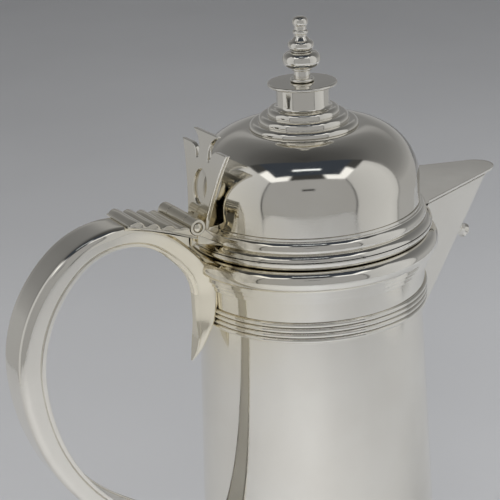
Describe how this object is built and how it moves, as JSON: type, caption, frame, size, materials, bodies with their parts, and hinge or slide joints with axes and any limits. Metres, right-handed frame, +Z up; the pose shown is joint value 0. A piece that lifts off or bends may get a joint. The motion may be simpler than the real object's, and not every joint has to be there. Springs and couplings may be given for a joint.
{
  "type": "wine flagon",
  "caption": "Tall silver wine flagon with a tapering round body, reeded neck, covered beak spout, scroll handle and a hinged domed lid with a pierced thumbpiece and a turned finial.",
  "frame": {"origin": "centre of the foot on the table", "axes": "+Z up the body's axis to the finial, +X towards the spout, -X towards the handle, Y along the hinge pin"},
  "size_m": [0.2278, 0.132, 0.3052],
  "materials": {
    "silver": "hand-polished silver with faint wear",
    "bright_silver": "bright polished silver on mouldings",
    "inner_silver": "duller silver inside"
  },
  "bodies": {
    "flagon": {"body_shell": "silver", "base_plate": "inner_silver", "foot_ring": "silver", "reeded_band": "bright_silver", "neck_band": "silver", "rim_moulding": "bright_silver", "rim_ring": "bright_silver", "spout": "silver", "spout_boss": "bright_silver", "spout_bead": "bright_silver", "handle_shell": "silver", "handle_inner_strip": "bright_silver", "handle_tail": "silver", "handle_upper_seat": "silver", "handle_heel_plate": "silver", "hinge_block": "silver", "outer_knuckles": "bright_silver", "hinge_pin": "bright_silver"},
    "lid": {"lid_rim": "bright_silver", "lid_bezel": "inner_silver", "lid_dome": "silver", "spout_cover": "bright_silver", "crown_mount": "bright_silver", "finial_drum": "silver", "finial_disc": "bright_silver", "finial": "bright_silver", "finial_washer": "inner_silver", "finial_nut": "inner_silver", "lid_hinge_leaf": "silver", "lid_knuckle": "bright_silver", "thumbpiece": "silver"}
  },
  "joints": [
    {"name": "lid_hinge", "type": "hinge", "parent": "flagon", "child": "lid", "pos_m": [-0.0575, 0, 0.2353], "axis": [0, -1, 0], "range_deg": [0, 95]}
  ]
}
